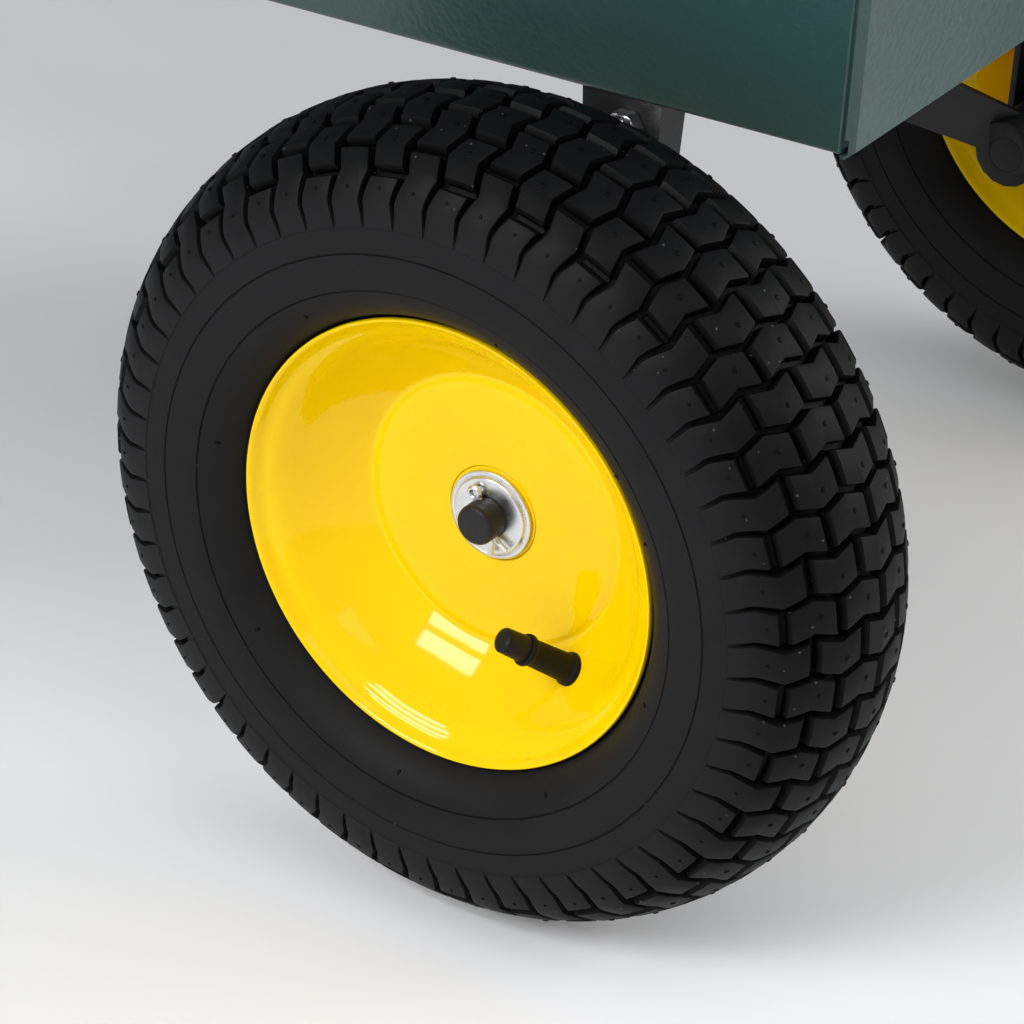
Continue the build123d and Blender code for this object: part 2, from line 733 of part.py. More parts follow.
with BuildPart() as latch_hook:
    with BuildSketch(side_plane(-latch_x, latch_z, latch_plate / 2, 180 + hook_droop)):
        RegularPolygon(hook_half, 8, major_radius=False)
        Rectangle(hook_tip, 2 * hook_half, align=(Align.MIN, Align.CENTER))
        Polygon(
            (hook_reach - notch_half, notch_half),
            (hook_reach + notch_half, notch_half),
            (hook_reach + notch_half, -2 * hook_half),
            (hook_reach - notch_half - hook_half / 2, -2 * hook_half),
            (hook_reach - notch_half, 0),
            align=None, mode=Mode.SUBTRACT,
        )
        Circle(latch_pin_radius + running_gap, mode=Mode.SUBTRACT)
    extrude(amount=latch_plate)
save(latch_hook, "latch_hook")

latch_grip = 2 * (latch_inner + ear_plate)
stand_grip = 2 * (ear_inner + ear_plate)
with BuildPart() as pivot_bolts:
    stand_seat = Plane((axle_x - stand_x, -stand_grip / 2, stand_z), z_dir=(0, -1, 0))
    pivot_bolt(stand_seat, stand_bolt_radius, stand_grip, 2 * ear_inner)
    latch_seat = Plane((axle_x - latch_x, -latch_grip / 2, latch_z), z_dir=(0, -1, 0))
    pivot_bolt(latch_seat, latch_pin_radius, latch_grip, 2 * latch_inner)
save(pivot_bolts, "pivot_bolts")
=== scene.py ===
# %% [markdown]
# # A garden dump cart, dressed for its portrait
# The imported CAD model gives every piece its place, its size and its joint. This lesson keeps those and
# gives the pieces the skin of the real cart: a turf tyre with a brick tread, a glossy pressed rim, powder
# coat and zinc. Shapes are worked out with numpy in millimetres, and one helper turns them into meshes.

# %% Load the frame
import json

import bmesh
import bpy
import numpy as np
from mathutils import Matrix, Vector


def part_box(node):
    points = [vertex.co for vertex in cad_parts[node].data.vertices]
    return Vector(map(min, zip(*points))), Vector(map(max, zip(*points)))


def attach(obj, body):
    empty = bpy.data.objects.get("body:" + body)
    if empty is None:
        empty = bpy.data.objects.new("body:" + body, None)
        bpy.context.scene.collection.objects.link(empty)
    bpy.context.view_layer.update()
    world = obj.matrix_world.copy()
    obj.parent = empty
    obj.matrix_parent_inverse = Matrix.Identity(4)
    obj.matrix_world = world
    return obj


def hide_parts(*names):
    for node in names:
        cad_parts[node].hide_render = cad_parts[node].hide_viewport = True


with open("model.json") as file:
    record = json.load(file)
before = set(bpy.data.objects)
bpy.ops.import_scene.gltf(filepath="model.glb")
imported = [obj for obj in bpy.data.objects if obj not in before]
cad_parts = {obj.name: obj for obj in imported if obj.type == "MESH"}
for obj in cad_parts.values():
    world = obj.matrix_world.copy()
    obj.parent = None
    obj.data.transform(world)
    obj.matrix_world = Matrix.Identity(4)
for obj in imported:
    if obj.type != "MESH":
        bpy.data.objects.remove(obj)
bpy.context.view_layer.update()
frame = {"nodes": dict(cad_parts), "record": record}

bodies = frame["record"]["behaviour"]["bodies"]
body_of_node = {node: body for body, nodes in bodies.items() for node in nodes}

# %% [markdown]
# ## Camera and light
# The photograph is a close view of one wheel from above and behind the cart. The camera was worked out
# from the wheel's ellipses, so it is written as a place, two angles and a lens. A soft box of two panels
# and a pale sky keep colours close to how they are written. The panels hang where the rim's dish mirrors
# them to the camera, which draws the pair of streaks that shows how glossy it is. A side lamp models the
# tread, and a low lamp behind the cart brightens the floor under the tray.

# %% Camera and light
scene = bpy.context.scene
scene.view_settings.view_transform = "Standard"

camera = bpy.data.objects.new("camera", bpy.data.cameras.new("camera"))
scene.collection.objects.link(camera)
camera.data.lens = 168.4
camera.data.sensor_width = 36
camera.location = (1.3541, -1.5528, 1.0171)
camera.rotation_euler = np.radians((90 - 28.53, 0, 34.21))
scene.camera = camera


def lamp(name, place, aim, size, power):
    """A soft rectangular lamp at one point that looks at another."""
    data = bpy.data.lights.new(name, "AREA")
    data.shape = "RECTANGLE"
    data.size, data.size_y = size
    data.energy = power
    light = bpy.data.objects.new(name, data)
    scene.collection.objects.link(light)
    light.location = place
    look = np.array(aim, float) - np.array(place, float)
    flat = np.hypot(look[0], look[1])
    light.rotation_euler = (np.arctan2(flat, -look[2]), 0, np.arctan2(-look[0], look[1]))


panel_size, panel_power = (1.15, 0.27), 15.5
lamp("upper panel", (0.052, -1.785, 1.645), (0.451, -0.267, 0.103), panel_size, panel_power)
lamp("lower panel", (-0.023, -2.038, 1.318), (0.453, -0.263, 0.109), panel_size, panel_power)
lamp("side", (2.0, -0.7, 2.6), (0.7, -0.2, 0.0), (2.4, 2.4), 20)
lamp("rear", (2.4, 1.5, 1.1), (0.6, 0.0, 0.1), (1.8, 1.2), 32)

world = bpy.data.worlds.new("pale sky")
scene.world = world
world.use_nodes = True
sky = world.node_tree.nodes["Background"].inputs
sky["Color"].default_value = (0.93, 0.95, 1.0, 1)
sky["Strength"].default_value = 0.38
print("camera at", tuple(camera.location))

# %% [markdown]
# ## From numbers to meshes
# A shape here is a grid of points: rows one way, columns the other. Closing a direction joins the last
# line to the first, which makes a tube or a ring. Points that fall together, at a pole or a seam, are
# merged, and the faces are turned outwards, so every piece ends as a closed shell. A point may carry a
# fourth number, its shade, which the mesh keeps as an attribute for the material to read.

# %% Grid helpers
def cells(rows, columns, close_rows, close_columns):
    """Corner numbers of every cell of a grid: (i, j), (i+1, j), (i+1, j+1), (i, j+1)."""
    i, j = np.meshgrid(
        np.arange(rows - (not close_rows)), np.arange(columns - (not close_columns)), indexing="ij"
    )
    i_next, j_next = (i + 1) % rows, (j + 1) % columns
    corners = (i * columns + j, i_next * columns + j, i_next * columns + j_next, i * columns + j_next)
    return np.stack(corners, axis=-1).reshape(-1, 4)


def finish_mesh(mesh, crease):
    """Merge points that coincide, turn the faces outwards, shade smoothly except at creases."""
    shell = bmesh.new()
    shell.from_mesh(mesh)
    bmesh.ops.remove_doubles(shell, verts=shell.verts, dist=2e-6)
    bmesh.ops.dissolve_degenerate(shell, edges=shell.edges, dist=1e-7)
    bmesh.ops.recalc_face_normals(shell, faces=shell.faces)
    shell.to_mesh(mesh)
    shell.free()
    mesh.shade_smooth()
    mesh.set_sharp_from_angle(angle=np.radians(crease))


def piece(name, skins, body, material, stands_for=(), crease=35):
    """One object from several grids in millimetres, riding on a body and standing for CAD nodes."""
    points, faces, start = [], [], 0
    for grid, close_rows, close_columns in skins:
        faces.append(cells(*grid.shape[:2], close_rows, close_columns) + start)
        points.append(grid.reshape(-1, grid.shape[2]))
        start += points[-1].shape[0]
    points = np.concatenate(points)
    mesh = bpy.data.meshes.new(name)
    mesh.from_pydata((points[:, :3] / 1000).tolist(), [], np.concatenate(faces).tolist())
    if points.shape[1] == 4:
        mesh.attributes.new("shade", "FLOAT", "POINT").data.foreach_set("value", points[:, 3])
    finish_mesh(mesh, crease)
    thing = bpy.data.objects.new(name, mesh)
    scene.collection.objects.link(thing)
    mesh.materials.append(material)
    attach(thing, body)
    if stands_for:
        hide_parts(*stands_for)
    print(name, len(mesh.vertices), "points,", len(mesh.polygons), "faces")


def rounded(corners, radius, steps=5, closed=True):
    """A line through corners, each corner swapped for a curve (1-t)^2 a + 2t(1-t) p + t^2 b.

    a and b lie on the two neighbouring sides, a radius away from the corner p.
    """
    p = np.asarray(corners, float)
    before, after = np.roll(p, 1, axis=0) - p, np.roll(p, -1, axis=0) - p
    if not closed:
        before[0], after[-1] = 0, 0
    size_before = np.linalg.norm(before, axis=1, keepdims=True)
    size_after = np.linalg.norm(after, axis=1, keepdims=True)
    room = np.minimum(size_before, size_after) * 0.49
    cut = np.minimum(np.broadcast_to(np.reshape(radius, (-1, 1)), room.shape), room)
    a = p + before / np.maximum(size_before, 1e-9) * cut
    b = p + after / np.maximum(size_after, 1e-9) * cut
    t = np.linspace(0, 1, steps)[None, :, None]
    curve = (1 - t) ** 2 * a[:, None] + 2 * t * (1 - t) * p[:, None] + t**2 * b[:, None]
    return curve.reshape(-1, p.shape[1])


def mirrored(line):
    """The reflection (-across, up) of a line of (across, up) points, run backwards."""
    return tuple((-across, up) for across, up in reversed(line))


print("grid helpers ready")

# %% [markdown]
# ## Shader maths as sentences
# A material is a small graph. To keep it readable, a wrapped socket knows plus, minus and times, so a
# dirt mask can be written as an expression. Everything else goes through one method that takes the
# node's type, its settings and its sockets.

# %% Shader helpers
class Value:
    """A number that varies over a surface; arithmetic on it adds Math nodes."""

    def __init__(self, socket):
        self.socket = socket

    def math(self, operation, *terms):
        tree = self.socket.id_data
        node = tree.nodes.new("ShaderNodeMath")
        node.operation = operation
        for place, term in zip(node.inputs, terms):
            if isinstance(term, Value):
                tree.links.new(term.socket, place)
            else:
                place.default_value = term
        return Value(node.outputs[0])

    def __add__(self, other):
        return self.math("ADD", self, other)

    def __sub__(self, other):
        return self.math("SUBTRACT", self, other)

    def __rsub__(self, other):
        return self.math("SUBTRACT", other, self)

    def __mul__(self, other):
        return self.math("MULTIPLY", self, other)

    __radd__ = __add__
    __rmul__ = __mul__


class Finish:
    """A material being mixed: constants go straight on the shader, patterns are linked to it."""

    def __init__(self, name, **constants):
        self.material = bpy.data.materials.new(name)
        self.material.use_nodes = True
        self.tree = self.material.node_tree
        self.shader = self.tree.nodes["Principled BSDF"]
        for socket, value in constants.items():
            self.shader.inputs[socket.replace("_", " ")].default_value = value
        self.place = self.node("ShaderNodeTexCoord").outputs["Object"]

    def node(self, kind, settings=None, sockets=None):
        """Any node: its settings first, then a value or a link for each named socket."""
        made = self.tree.nodes.new(kind)
        for key, value in (settings or {}).items():
            setattr(made, key, value)
        for key, value in (sockets or {}).items():
            self.link(value, made.inputs[key])
        return made

    def link(self, value, socket):
        """Join a socket, a Value or a plain constant to an input."""
        if isinstance(value, Value):
            value = value.socket
        if isinstance(value, bpy.types.NodeSocket):
            self.tree.links.new(value, socket)
        else:
            socket.default_value = value

    def noise(self, scale, detail=3.0, rough=0.5):
        """Cloudy noise from 0 to 1, with its grain set in cells per metre."""
        made = self.node(
            "ShaderNodeTexNoise", None,
            {"Vector": self.place, "Scale": scale, "Detail": detail, "Roughness": rough},
        )
        return Value(made.outputs["Fac"])

    def cells(self, scale):
        """Distance to the nearest of scattered points, in cells per metre."""
        made = self.node("ShaderNodeTexVoronoi", None, {"Vector": self.place, "Scale": scale})
        return Value(made.outputs["Distance"])

    def blend(self, share, first, second):
        """A colour between two others."""
        made = self.node("ShaderNodeMix", {"data_type": "RGBA"}, {0: share, 6: first, 7: second})
        return made.outputs[2]

    def bump(self, height, strength, distance):
        """Tilt the shading normal by a height pattern, its depth in metres."""
        made = self.node(
            "ShaderNodeBump", None, {"Height": height, "Strength": strength, "Distance": distance}
        )
        self.link(made.outputs["Normal"], self.shader.inputs["Normal"])

    def paint(self, **patterns):
        """Link patterns to the shader's sockets."""
        for socket, value in patterns.items():
            self.link(value, self.shader.inputs[socket.replace("_", " ")])
        return self.material


def colour(red, green, blue):
    """A colour written as it looks on screen, 0 to 255, as linear light."""
    c = np.array((red, green, blue)) / 255
    return (*np.where(c <= 0.04045, c / 12.92, ((c + 0.055) / 1.055) ** 2.4).tolist(), 1.0)


print("shader helpers ready")

# %% [markdown]
# ## Finishes
# Seven finishes cover the cart. Each one starts from what the surface is: rubber is matt and mottled,
# baked powder coat has the dimples called orange peel, zinc plate is bright and faintly clouded. Pictures
# of such surfaces would repeat and blur close up, so noise draws them. Its sizes are real: a scale of
# 1000 gives features of about a millimetre.

# %% Rubber and plastics
tread_rubber = Finish("tread_rubber", Specular_IOR_Level=0.1)
cloud = tread_rubber.noise(60, 4)
grain = tread_rubber.noise(1500, 2)
shade = Value(tread_rubber.node("ShaderNodeAttribute", {"attribute_name": "shade"}).outputs["Fac"])
sidewall = tread_rubber.blend(cloud, colour(23, 23, 24), colour(32, 32, 33))
speck = shade.math("LESS_THAN", tread_rubber.cells(150), 0.07) * shade
tread_rubber.bump(grain * 0.5 + tread_rubber.noise(240, 3), 0.22, 0.0006)
# The shade attribute darkens the rubber towards near black: the tread a little, and the grooves, cuts,
# sidewall rings and nubs deeply, which is painted shade for the shadow in them.
tread = tread_rubber.blend(shade, sidewall, colour(4, 4, 5))
tread_rubber.paint(
    Base_Color=tread_rubber.blend(speck * 0.5, tread, colour(120, 120, 118)),
    Roughness=0.46 + cloud * 0.16,
)
tread_rubber = tread_rubber.material

valve_rubber = Finish("valve_rubber", Specular_IOR_Level=0.2)
valve_rubber.bump(valve_rubber.noise(1800, 3), 0.25, 0.0003)
valve_rubber.paint(
    Base_Color=valve_rubber.blend(valve_rubber.noise(400), colour(7, 7, 8), colour(13, 13, 14)),
    Roughness=0.46 + valve_rubber.noise(300) * 0.2,
)
valve_rubber = valve_rubber.material

black_plastic = Finish("black_plastic", Specular_IOR_Level=0.25)
black_plastic.bump(black_plastic.cells(1600), 0.3, 0.0002)
black_plastic.paint(
    Base_Color=black_plastic.blend(black_plastic.noise(120), colour(10, 10, 11), colour(17, 17, 18)),
    Roughness=0.4 + black_plastic.noise(200) * 0.15,
)
black_plastic = black_plastic.material
print("rubber and plastics mixed")

# %% [markdown]
# The paints differ in how they shine. The rim's gloss is colour under a clear coat, which alone mirrors
# the lamps, so the yellow stays pure. The tray and the frame have a rougher shine of their own, broken by
# dimples. Zinc is bare metal, so its colour tints what it mirrors.

# %% Paints and zinc
rim_paint = Finish("rim_paint", Specular_IOR_Level=0.0, Coat_Roughness=0.07, Coat_IOR=1.5)
peel = rim_paint.noise(170, 2)
rim_paint.bump(peel, 0.03, 0.0006)
rim_paint.paint(
    Base_Color=rim_paint.blend(rim_paint.noise(26), colour(250, 205, 0), colour(255, 216, 0)),
    Roughness=0.26 + peel * 0.08,
    Coat_Weight=0.46 + rim_paint.noise(40) * 0.1,
)
rim_paint = rim_paint.material

tray_paint = Finish("tray_paint")
dimples = tray_paint.noise(330, 2, 0.45)
tray_paint.bump(dimples + tray_paint.noise(90, 1) * 0.6, 0.3, 0.0009)
tray_paint.paint(
    Base_Color=tray_paint.blend(tray_paint.noise(14, 4), colour(40, 71, 68), colour(49, 81, 77)),
    Roughness=0.3 + dimples * 0.14,
)
tray_paint = tray_paint.material

frame_paint = Finish("frame_paint", Specular_IOR_Level=0.3)
pebble = frame_paint.noise(500, 2)
frame_paint.bump(pebble, 0.25, 0.0006)
frame_paint.paint(
    Base_Color=frame_paint.blend(frame_paint.noise(30), colour(22, 22, 23), colour(33, 33, 34)),
    Roughness=0.4 + pebble * 0.14,
)
frame_paint = frame_paint.material

zinc = Finish("zinc", Metallic=1.0)
spangle = zinc.noise(260, 3)
zinc.bump(zinc.noise(900, 4), 0.12, 0.0003)
zinc.paint(
    Base_Color=zinc.blend(spangle, colour(205, 207, 210), colour(236, 237, 238)),
    Roughness=0.2 + spangle * 0.18,
)
zinc = zinc.material
print("paints and zinc mixed")

# %% [markdown]
# ## The floor
# A pale concrete-like floor carries the shadow that tells the eye where the wheels stand. In a wide ring
# it looks a little paler to the eye than its light alone would make it, as the photograph's floor does.
# That glow is for eyes and mirrors only, so it puts no light on the cart.

# %% Floor
floor_paint = Finish("floor_paint", Emission_Strength=1.0)
rays = floor_paint.node("ShaderNodeLightPath").outputs
seen = Value(rays["Is Camera Ray"]) + Value(rays["Is Glossy Ray"]) + Value(rays["Is Transmission Ray"])
from_spot = {0: floor_paint.place, 1: (0.08, -0.05, 0.0)}
distance = floor_paint.node("ShaderNodeVectorMath", {"operation": "DISTANCE"}, from_spot)
away = Value(distance.outputs["Value"])
ring_start, ring_end, most_glow = 0.12, 3.0, 0.13
glow = away.math("MINIMUM", (away - ring_start) * 0.7, (ring_end - away) * 0.06)
glow = away.math("MAXIMUM", away.math("MINIMUM", glow, most_glow), 0.0)
floor_paint.paint(
    Emission_Color=floor_paint.blend(seen * glow, (0.0, 0.0, 0.0, 1.0), (1.0, 1.0, 1.0, 1.0)),
    Base_Color=floor_paint.blend(floor_paint.noise(3), colour(234, 234, 235), colour(241, 241, 242)),
    Roughness=0.6 + floor_paint.noise(40) * 0.1,
)
floor_line = np.linspace(-30.0, 30.0, 4)
u, v = np.meshgrid(floor_line, floor_line, indexing="ij")
floor_points = np.stack((u, v, 0 * u), -1).reshape(-1, 3)
floor_mesh = bpy.data.meshes.new("floor")
floor_mesh.from_pydata(floor_points.tolist(), [], cells(*u.shape, False, False).tolist())
floor_mesh.materials.append(floor_paint.material)
floor = bpy.data.objects.new("floor", floor_mesh)
scene.collection.objects.link(floor)
print("floor laid")

# %% [markdown]
# ## Turning things on the axle
# Tyre, rim, disc, hub and washer share one line, the axle. A point is given by its reach outboard from
# the wheel's middle, its radius and its angle. The right wheel is the left one turned half way round, so
# one formula with a side of -1 or +1 places both.

# %% Wheel coordinates
axle_x, axle_z, wheel_y = 467.6, 165.1, 256.0
tyre_radius = 165.0


def on_wheel(out, radius, angle, side):
    """x = axle - side r cos a, y = side (track/2 + out), z = axle + r sin a."""
    out, radius, angle = np.broadcast_arrays(out, radius, angle)
    x = axle_x - side * radius * np.cos(angle)
    z = axle_z + radius * np.sin(angle)
    return np.stack((x, side * (wheel_y + out), z), -1)


def turned(profile, count, side):
    """A closed profile of (out, radius) carried round the axle."""
    profile = np.asarray(profile, float)
    angle = np.linspace(0, 2 * np.pi, count, endpoint=False)
    return on_wheel(profile[:, :1], profile[:, 1:], angle[None, :], side)


print("axle line at", axle_x, axle_z)

# %% [markdown]
# ## The turf tyre
# The tread is a brick wall bent round a wheel. Zigzag grooves run across it, 62 of them, and short cuts
# divide each strip between two grooves, every other strip half a brick further on. At the shoulders the
# strips run on as lugs that fade into the sidewall. Displacing a plain grid would blur such edges, so
# the grid's own lines are laid along the grooves: the lines bend with the zigzag, and a point only has
# to know how deep it lies. That depth is also its shade: the tread is darker than the sidewall, and the
# grooves are darkest, a painted shade for the shadow that falls in them.

# %% Tyre section
def smooth_line(knots, per_knot):
    """A line through knots: the cubic whose slope at a knot is half the step between its neighbours."""
    p = np.asarray(knots, float)
    slope = np.gradient(p, axis=0)
    t = np.linspace(0, 1, per_knot, endpoint=False)[None, :, None]
    a, b, da, db = p[:-1, None], p[1:, None], slope[:-1, None], slope[1:, None]
    line = (
        (2 * t**3 - 3 * t**2 + 1) * a + (t**3 - 2 * t**2 + t) * da
        + (3 * t**2 - 2 * t**3) * b + (t**3 - t**2) * db
    )
    return np.concatenate((line.reshape(-1, 2), p[-1:]))


half_section = smooth_line(
    (
        (0, tyre_radius), (12, 163.8), (24, 160.4), (33.0, 155.8), (39.6, 150.2), (44.0, 144.4),
        (47.0, 137.8), (48.9, 130.6), (50.0, 123.6), (50.4, 116.6), (50.0, 110.0), (48.6, 104.2),
        (46.0, 99.2), (42.6, 95.4), (38.8, 92.6), (34.5, 90.8),
    ),
    12,
)
section_length = np.concatenate(
    ([0], np.cumsum(np.linalg.norm(np.diff(half_section, axis=0), axis=1)))
)
section_normal = np.gradient(half_section, axis=0)
section_normal = np.stack((-section_normal[:, 1], section_normal[:, 0]), -1)
section_normal /= np.linalg.norm(section_normal, axis=1, keepdims=True)
print("half section is", round(section_length[-1], 1), "mm long")


def section_at(length, depth):
    """The point at a length along the half section from the crown, sunk by a depth."""
    reach = np.abs(length)
    sign = np.where(length < 0, -1.0, 1.0)
    out = np.interp(reach, section_length, half_section[:, 0])
    radius = np.interp(reach, section_length, half_section[:, 1])
    out_way = np.interp(reach, section_length, section_normal[:, 0])
    radius_way = np.interp(reach, section_length, section_normal[:, 1])
    return sign * (out - depth * out_way), radius - depth * radius_way


# %% [markdown]
# Lengths run along the section from the crown, so the pattern bends over the shoulder without stretching.
# A groove and a cut are each a short list of distances from their middle with the depth at each, and the
# grid has a line at every one of those distances.

# %% Tread pattern
strips = 62
brick = 22.5
tread_depth = 5.4
lug_end, past_lugs = 66.2, 66.5
rings = (76.0, 76.3, 90.7, 91.0)
strip_angle = 2 * np.pi / strips
strip_width = strip_angle * tyre_radius

near_cut = np.array((-2.5, -1.55, -0.95, 0.0, 0.95, 1.55, 2.5))
cut_depth_near = np.array((0.0, 0.35, 1.0, 1.0, 1.0, 0.35, 0.0))
cut_rows = np.arange(-4, 5) * brick / 2
lug_rows = np.array((50, 52.3, 54.5, 56.7, 59, 61.3, 63.4, 65.0, 66.1, 66.6, 67.1, 67.6))
row_lengths = np.concatenate(
    (
        (cut_rows[:, None] + near_cut).ravel(),
        cut_rows[:-1] + brick / 4,
        lug_rows,
        -lug_rows,
    )
)
side_rows = np.concatenate(
    (
        np.linspace(68.8, 74, 4),
        (75.7, 76.0, 76.3, 76.6),
        np.linspace(78, 89, 7),
        (90.4, 90.7, 91.0, 91.3),
        np.linspace(93, section_length[-1], 12),
    )
)
row_lengths = np.sort(np.concatenate((row_lengths, side_rows, -side_rows)))
print(row_lengths.size, "lines across the tyre")

# %% [markdown]
# Round the tyre the lines come in bundles, one to a strip. A bundle swings with the zigzag, and along the
# lugs its lines close in on the groove, which narrows it. A point's depth is then read from the two lists
# by its row and its line, so no point is searched for.


# %% Tyre skin
def zigzag(length):
    """The groove's sideways swing: a triangle wave, one period to a brick, calmer on the shoulder."""
    turns = length / brick
    swing = 1 - 4 * np.abs(turns - np.round(turns))
    return 1.95 * swing * np.interp(np.abs(length), (45, lug_end, 80), (1.0, 0.45, 0.0))


near_groove = np.array((1.15, 1.75, 2.6))
groove_lines = np.concatenate(((0.0,), near_groove, (strip_width / 2,), strip_width - near_groove[::-1]))
groove_depth_near = np.array((1.0, 1.0, 0.06, 0.0, 0.0, 0.0, 0.06, 1.0))
strip_number = np.repeat(np.arange(strips), groove_lines.size)[None, :]


def shaded(grid, shade):
    """Points with their shade as a fourth number."""
    return np.concatenate((grid, np.broadcast_to(shade, grid.shape[:-1])[..., None]), -1)


def line_angles(length):
    """Strip angle times (strip + offset), where lines near a groove close in on it along the lugs."""
    narrow = np.interp(np.abs(length), (47, 56, lug_end), (1.0, 0.8, 0.5))
    line = np.tile(groove_lines, strips)[None, :]
    nearest = np.where(line > strip_width / 2, strip_width, 0.0)
    offset = np.where(np.isclose(line, strip_width / 2), line, nearest + (line - nearest) * narrow)
    return (strip_number + (offset + zigzag(length)) / strip_width) * strip_angle


def tyre_skin(side):
    """Depth is the larger of the groove's and the cut's; both fade to nothing along the lugs."""
    length = row_lengths[:, None]
    reach = np.abs(length)
    fade = np.interp(reach, (44, 50, 57, 63, lug_end), (1.0, 0.8, 0.5, 0.24, 0.08))
    angle = line_angles(length)
    groove = np.tile(groove_depth_near, strips)[None, :] * fade

    row = np.round(length / (brick / 2))
    cut = np.interp(length - row * brick / 2, near_cut, cut_depth_near, left=0, right=0)
    cut = 0.86 * cut * (np.abs(row) <= 4) * ((row + strip_number) % 2 == 0)
    sidewall = np.interp(reach, (lug_end, 66.6, 78, 92), (0.0, 0.1, 0.1, 0.0))
    ring = np.isin(np.round(reach, 1), rings)
    sunk = np.maximum(np.maximum(groove * (reach < past_lugs), cut), sidewall + 0.08 * ring)
    out, radius = section_at(np.broadcast_to(length, angle.shape), tread_depth * sunk)
    # Depth also gives the shade: the tread is darker than the sidewall, and the darker grooves, cuts and
    # sidewall rings are painted shade for the shadow in them.
    tread_shade = np.interp(reach, (42, 62), (0.66, 0.0))
    groove_shade = np.minimum(1.3 * np.maximum(groove, cut), 1.0)
    shade = np.where(reach > past_lugs, 0.6 * ring, np.maximum(tread_shade, groove_shade))
    return shaded(on_wheel(out, radius, np.pi / 2 - angle, side), shade)


def bead_skin(side):
    """The plain ring between the two beads, out of sight on the rim."""
    half_bead = ((17.0, 76.6), (24.0, 80.4), (29.8, 87.4), (34.5, 90.8))
    bead = rounded(mirrored(half_bead) + half_bead, 2, 4, closed=False)
    angle = np.pi / 2 - line_angles(section_length[-1])
    return shaded(on_wheel(bead[:, :1], bead[:, 1:], angle, side), 0.0)


print(strips * groove_lines.size, "lines round the tyre")

# %% [markdown]
# New tyres carry short rubber nubs where air left the mould. Each brick has one, each lug on the outer
# side has one, and a few sit by the outer bead. They are tiny six-sided domes, because a shape made
# hundreds of times must stay simple, and they are shaded as dark as the grooves, as the pips in the
# photograph are. That darkness is painted shade for the shadow on and beside each nub.

# %% Nubs
def nubs(length, angle, size, height, side):
    """Small domes standing on the tyre: from a point below each place, rings of six rise to a tip."""
    length, angle = (a.reshape(-1, 1, 1) for a in np.broadcast_arrays(length, angle))
    turn = np.linspace(0, 2 * np.pi, 6, endpoint=False)[None, None, :]
    spread = np.array((0.0, 1.0, 0.92, 0.6, 0.0))[None, :, None] * size
    rise = np.array((-0.6, -0.6, 0.6, 0.97, 1.0))[None, :, None] * height
    reach = length + spread * np.cos(turn)
    out, radius = section_at(reach, -rise + 0 * turn)
    around = np.pi / 2 - angle - spread * np.sin(turn) / tyre_radius
    # The nub's shade of 0.95 is painted shade, nearly as dark as a groove floor.
    return shaded(on_wheel(out, radius, around, side), 0.95)


def nub_skins(side):
    """One nub to a brick and to a lug and nine by the bead, one grid each."""
    strip = np.arange(strips)[:, None]
    row = np.arange(-3, 4)[None, :]
    brick_here = (row + strip) % 2 == 1
    length = (row * brick / 2 + 0.0 * strip)[brick_here]
    place = ((strip + 0.5) * strip_angle + 0.0 * row)[brick_here]
    swing = zigzag(length) / tyre_radius
    on_block = nubs(length - 2.6, place + swing + 0.004, 1.2, 0.5, side)
    near_bead, on_shoulder = 98.0, 51.5
    bead_angle = np.array((0.3, 0.95, 1.22, 1.9, 2.6, 3.3, 4.1, 4.9, 5.7))
    by_bead = nubs(near_bead, bead_angle, 1.3, 0.5, side)
    on_lug = nubs(on_shoulder, (np.arange(strips) + 0.5) * strip_angle, 0.8, 0.4, side)
    return [(grid, False, True) for group in (on_block, by_bead, on_lug) for grid in group]


for name, side in (("left", -1), ("right", 1)):
    skins = [(tyre_skin(side), False, True), (bead_skin(side), False, True)] + nub_skins(side)
    piece(f"turf_tyre_{name}", skins, f"wheel_{name}", tread_rubber, [f"tyre_{name}"], crease=32)

# %% [markdown]
# ## The pressed wheel
# Three lathe profiles make the wheel: a rim whose flange falls from the lip in a soft wave to the barrel
# that holds the tyre; a dished disc, whose slope carries that wave on to a raised middle; and the hub
# tube with its weld. A bent plane with a thickness would do for the sheets, but a closed outline, turned
# round the axle, also gives the lip its own round edge.

# %% Rim, disc and hub
half_rim = (
    (18.0, 76.2), (25.0, 80.6), (31.0, 87.8), (36.4, 90.6), (38.6, 90.2), (37.6, 88.6),
    (33.9, 86.2), (31.4, 82.4), (27.4, 78.8), (24.0, 76.3), (21.0, 74.0), (19.5, 73.7),
)
half_radius = (2, 3, 3, 1, 0.9, 1.2, 2.2, 2.6, 2.4, 1.5, 0.5, 0.3)
rim_line = rounded(half_rim + mirrored(half_rim), np.array(half_radius + half_radius[::-1]), 7)
disc_line = rounded(
    (
        (27.4, 78.65), (21.2, 74.0), (16.7, 70.0), (12.8, 66.0), (9.3, 62.0), (6.6, 58.5),
        (4.5, 55.6), (5.9, 52.6), (5.7, 28.0), (5.7, 23.0), (5.6, 19.2), (3.4, 19.2),
        (3.2, 52.0), (1.8, 55.8), (4.0, 59.8), (16.0, 74.2), (25.0, 78.9),
    ),
    np.array((0.2, 2.6, 2.6, 2.6, 2.6, 2, 1.9, 2.0, 4, 3, 0.5, 1, 3, 3, 5, 1, 0.3)),
    8,
)
hub_line = rounded(((5.5, 19.0), (5.5, 8.3), (-61.5, 8.3), (-61.5, 19.0)), 0.5, 4)
weld_line = rounded(((4.0, 18.8), (4.0, 19.6), (0.6, 23.0), (-1.6, 19.0)), 1.5, 5)
